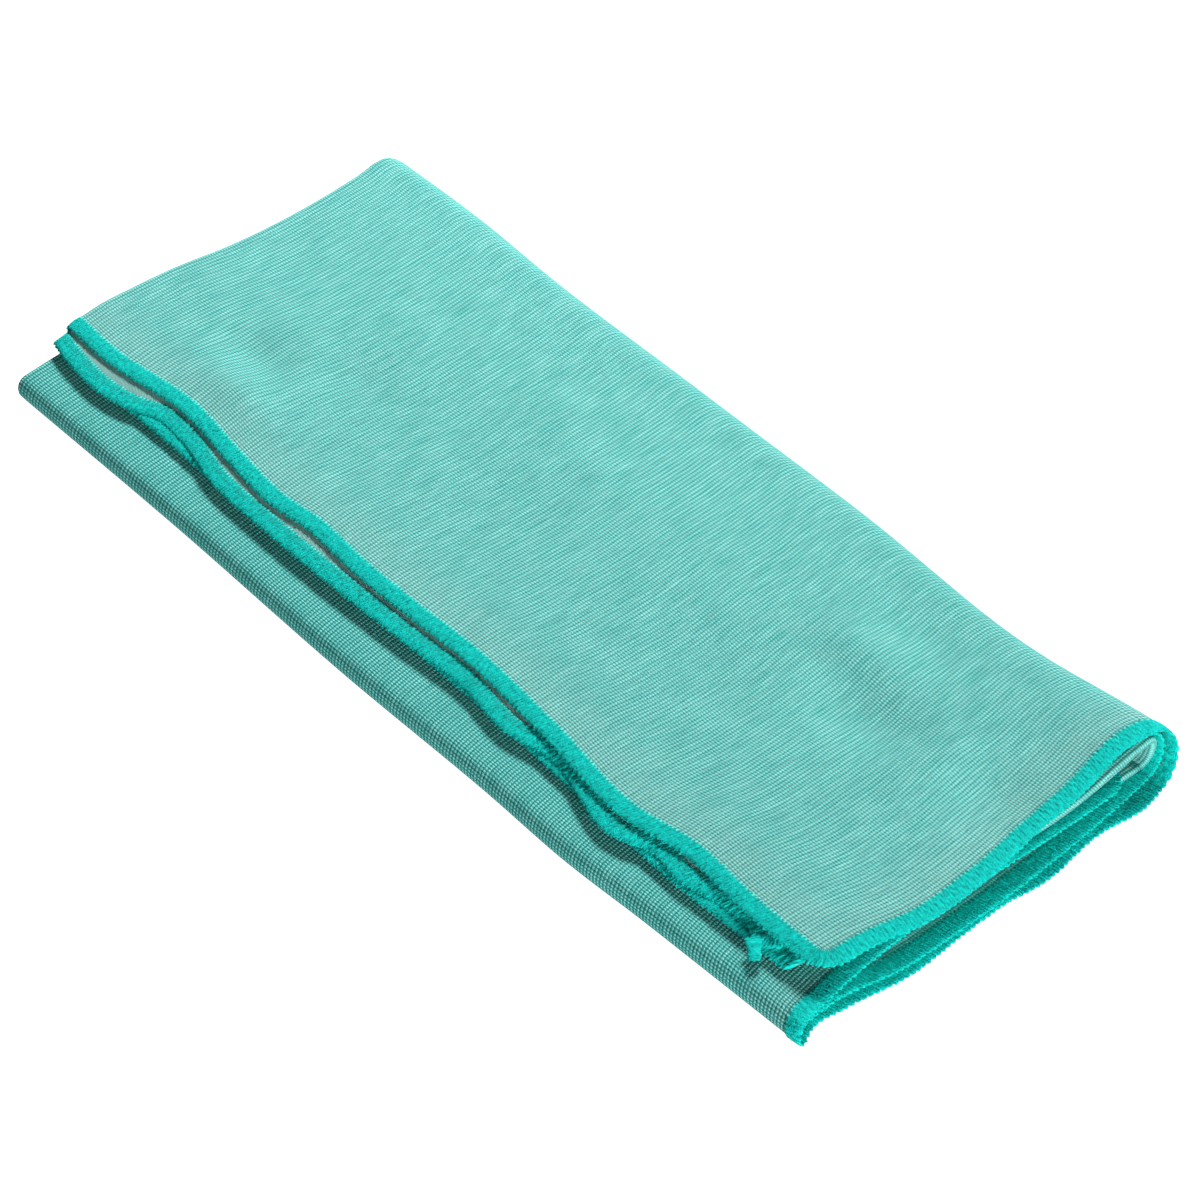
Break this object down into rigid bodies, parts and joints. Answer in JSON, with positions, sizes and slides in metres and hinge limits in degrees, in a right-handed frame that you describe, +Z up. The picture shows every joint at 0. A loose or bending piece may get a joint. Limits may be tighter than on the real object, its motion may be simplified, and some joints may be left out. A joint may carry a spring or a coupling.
{
  "type": "quick dry towel",
  "caption": "Long thin ribbed travel towel with overlocked edges, folded in half twice across its length and then in thirds, with a flap that lifts open.",
  "frame": {"origin": "centre of the folded towel's box, on the surface it lies on", "axes": "+X along the folded towel towards its short ends, +Y across it towards the far fold that the flap turns on, +Z up"},
  "size_m": [0.25, 0.106, 0.0099],
  "materials": {
    "ribbed_cloth": "matte",
    "overlocked_edging": "matte"
  },
  "bodies": {
    "base": {"bottom_ply_1": "ribbed_cloth", "bottom_ply_2": "ribbed_cloth", "bottom_ply_3": "ribbed_cloth", "bottom_ply_4": "ribbed_cloth", "bottom_edging_1": "overlocked_edging", "bottom_edging_2": "overlocked_edging", "bottom_outer_end_fold": "ribbed_cloth", "bottom_inner_end_fold": "ribbed_cloth", "bottom_centre_fold": "ribbed_cloth", "near_fold_ply_1": "ribbed_cloth", "near_fold_ply_2": "ribbed_cloth", "near_fold_ply_3": "ribbed_cloth", "near_fold_ply_4": "ribbed_cloth", "near_fold_edging_1": "overlocked_edging", "near_fold_edging_2": "overlocked_edging", "near_fold_outer_end_fold": "ribbed_cloth", "near_fold_inner_end_fold": "ribbed_cloth", "near_fold_centre_fold": "ribbed_cloth", "middle_ply_1": "ribbed_cloth", "middle_ply_2": "ribbed_cloth", "middle_ply_3": "ribbed_cloth", "middle_ply_4": "ribbed_cloth", "middle_edging_1": "overlocked_edging", "middle_edging_2": "overlocked_edging", "middle_edging_3": "overlocked_edging", "middle_edging_4": "overlocked_edging", "middle_outer_end_fold": "ribbed_cloth", "middle_inner_end_fold": "ribbed_cloth", "middle_centre_fold": "ribbed_cloth", "far_fold_lower_ply_1": "ribbed_cloth", "far_fold_lower_ply_2": "ribbed_cloth", "far_fold_lower_ply_3": "ribbed_cloth", "far_fold_lower_ply_4": "ribbed_cloth", "far_fold_lower_edging_1": "overlocked_edging", "far_fold_lower_edging_2": "overlocked_edging", "far_fold_lower_outer_end_fold": "ribbed_cloth", "far_fold_lower_inner_end_fold": "ribbed_cloth", "far_fold_lower_centre_fold": "ribbed_cloth"},
    "flap": {"far_fold_upper_ply_1": "ribbed_cloth", "far_fold_upper_ply_2": "ribbed_cloth", "far_fold_upper_ply_3": "ribbed_cloth", "far_fold_upper_ply_4": "ribbed_cloth", "far_fold_upper_edging_1": "overlocked_edging", "far_fold_upper_edging_2": "overlocked_edging", "far_fold_upper_outer_end_fold": "ribbed_cloth", "far_fold_upper_inner_end_fold": "ribbed_cloth", "far_fold_upper_centre_fold": "ribbed_cloth", "flap_ply_1": "ribbed_cloth", "flap_ply_2": "ribbed_cloth", "flap_ply_3": "ribbed_cloth", "flap_ply_4": "ribbed_cloth", "flap_edging_1": "overlocked_edging", "flap_edging_2": "overlocked_edging", "flap_edging_3": "overlocked_edging", "flap_edging_4": "overlocked_edging", "flap_outer_end_fold": "ribbed_cloth", "flap_inner_end_fold": "ribbed_cloth", "flap_centre_fold": "ribbed_cloth"}
  },
  "joints": [
    {"name": "flap_turn", "type": "hinge", "parent": "base", "child": "flap", "pos_m": [0, 0.053, 0.00497], "axis": [-1, 0, 0], "range_deg": [0, 180]}
  ]
}
